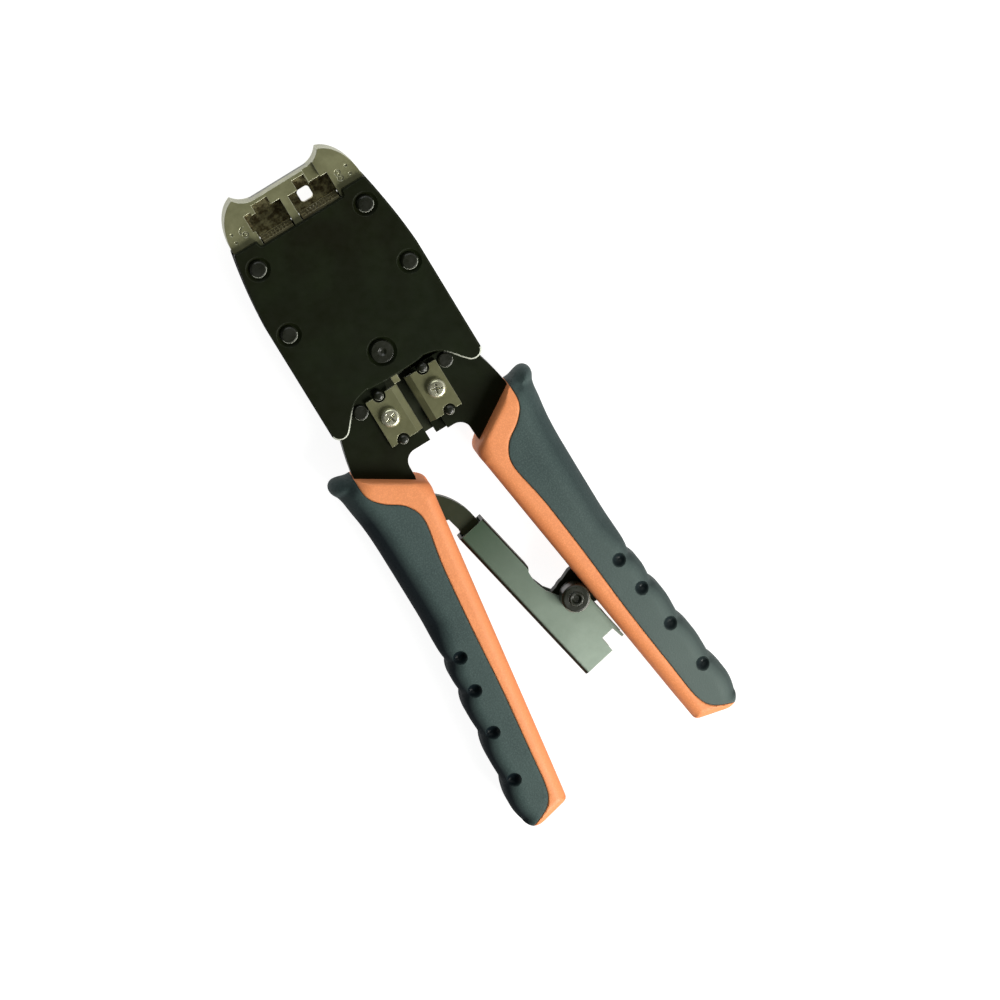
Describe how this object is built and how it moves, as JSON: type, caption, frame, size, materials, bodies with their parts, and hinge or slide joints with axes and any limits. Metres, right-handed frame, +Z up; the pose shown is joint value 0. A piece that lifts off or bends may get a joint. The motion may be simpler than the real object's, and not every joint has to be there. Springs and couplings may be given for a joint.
{
  "type": "ratcheting modular plug crimping tool",
  "caption": "Hand crimper with plug cavities in a flat nose, two turning arms with grips, cutting blades and a ratchet link that locks the handles",
  "frame": {"origin": "centre of the bounding box, at its lowest face, where the tool lies on the back of its grips", "axes": "+Y from the grips to the nose, +Z up through the thickness, +X to the right seen from the front"},
  "size_m": [0.069, 0.1886, 0.019],
  "materials": {
    "black_steel": "black oxide steel, satin, faint green cast",
    "nickel": "nickel plate, warm, softly brushed",
    "black_rivet": "black oxide, semi-gloss",
    "plain_steel": "machined steel",
    "spring_steel": "spring wire",
    "bright_screw": "bright zinc",
    "dark_steel": "dark oiled steel",
    "grey_sheet": "grey-green phosphated sheet, satin",
    "orange_plastic": "moulded orange plastic, satin",
    "dark_cover": "blue-black moulded rubber, matt, finely textured"
  },
  "bodies": {
    "head": {"front_plate": "black_steel", "back_plate": "black_steel", "nose_block": "nickel", "upper_rivets": "black_rivet", "middle_rivets": "black_rivet", "pivot_rivet": "black_rivet", "guide_rails": "plain_steel", "wire_stop": "nickel", "wire_guide": "dark_steel", "return_springs": "spring_steel"},
    "ram": {"ram": "plain_steel", "punch_six_way": "plain_steel", "punch_eight_way": "plain_steel"},
    "left_handle": {"left_arm": "black_steel", "left_arm_rivet": "black_rivet", "left_blade": "nickel", "left_blade_screw": "bright_screw", "left_blade_studs": "black_rivet", "left_grip_body": "orange_plastic", "left_grip_cover": "dark_cover", "bar_pin": "plain_steel"},
    "right_handle": {"right_arm": "black_steel", "right_arm_rivet": "black_rivet", "right_blade": "nickel", "right_blade_screw": "bright_screw", "right_blade_studs": "black_rivet", "right_grip_body": "orange_plastic", "right_grip_cover": "dark_cover", "pivot_stud": "black_rivet"},
    "ratchet_bar": {"ratchet_bar": "dark_steel"},
    "ratchet_channel": {"ratchet_channel": "grey_sheet", "ratchet_back": "grey_sheet", "pawl_pin": "plain_steel", "pawl_spring": "spring_steel"},
    "pawl": {"pawl": "dark_steel"},
    "release_knob": {"release_knob": "black_rivet"}
  },
  "joints": [
    {"name": "left_handle", "type": "hinge", "parent": "head", "child": "left_handle", "pos_m": [0, 0.0391, 0.0095], "axis": [0, 0, 1], "range_deg": [0, 5], "stiffness_Nm_per_rad": 4, "springref_deg": -5.73},
    {"name": "right_handle", "type": "hinge", "parent": "head", "child": "right_handle", "pos_m": [0, 0.0391, 0.0095], "axis": [0, 0, 1], "range_deg": [-5, 0]},
    {"name": "ram_slide", "type": "slide", "parent": "head", "child": "ram", "axis": [0, 1, 0], "range_m": [0, 0.0015]},
    {"name": "bar_swing", "type": "hinge", "parent": "left_handle", "child": "ratchet_bar", "pos_m": [-0.013, -0.0076, 0.0095], "axis": [0, 0, 1], "range_deg": [-21.85, 0]},
    {"name": "channel_swing", "type": "hinge", "parent": "right_handle", "child": "ratchet_channel", "pos_m": [0.0098, -0.04571, 0.0095], "axis": [0, 0, 1], "range_deg": [-11.85, 0]},
    {"name": "knob_turn", "type": "hinge", "parent": "ratchet_channel", "child": "release_knob", "pos_m": [0.0098, -0.04571, 0.0145], "axis": [0, 0, 1], "range_deg": [0, 25]},
    {"name": "pawl_swing", "type": "hinge", "parent": "ratchet_channel", "child": "pawl", "pos_m": [0.01155, -0.05816, 0.0095], "axis": [0, 0, 1], "range_deg": [-12, 0]}
  ],
  "couplings": [
    {"joint": "right_handle", "follows": "left_handle", "ratio": -1},
    {"joint": "ram_slide", "follows": "left_handle", "m_per_rad": 0.017},
    {"joint": "bar_swing", "follows": "left_handle", "ratio": -4.33},
    {"joint": "channel_swing", "follows": "left_handle", "ratio": -2.33},
    {"joint": "pawl_swing", "follows": "knob_turn", "ratio": -0.4}
  ]
}
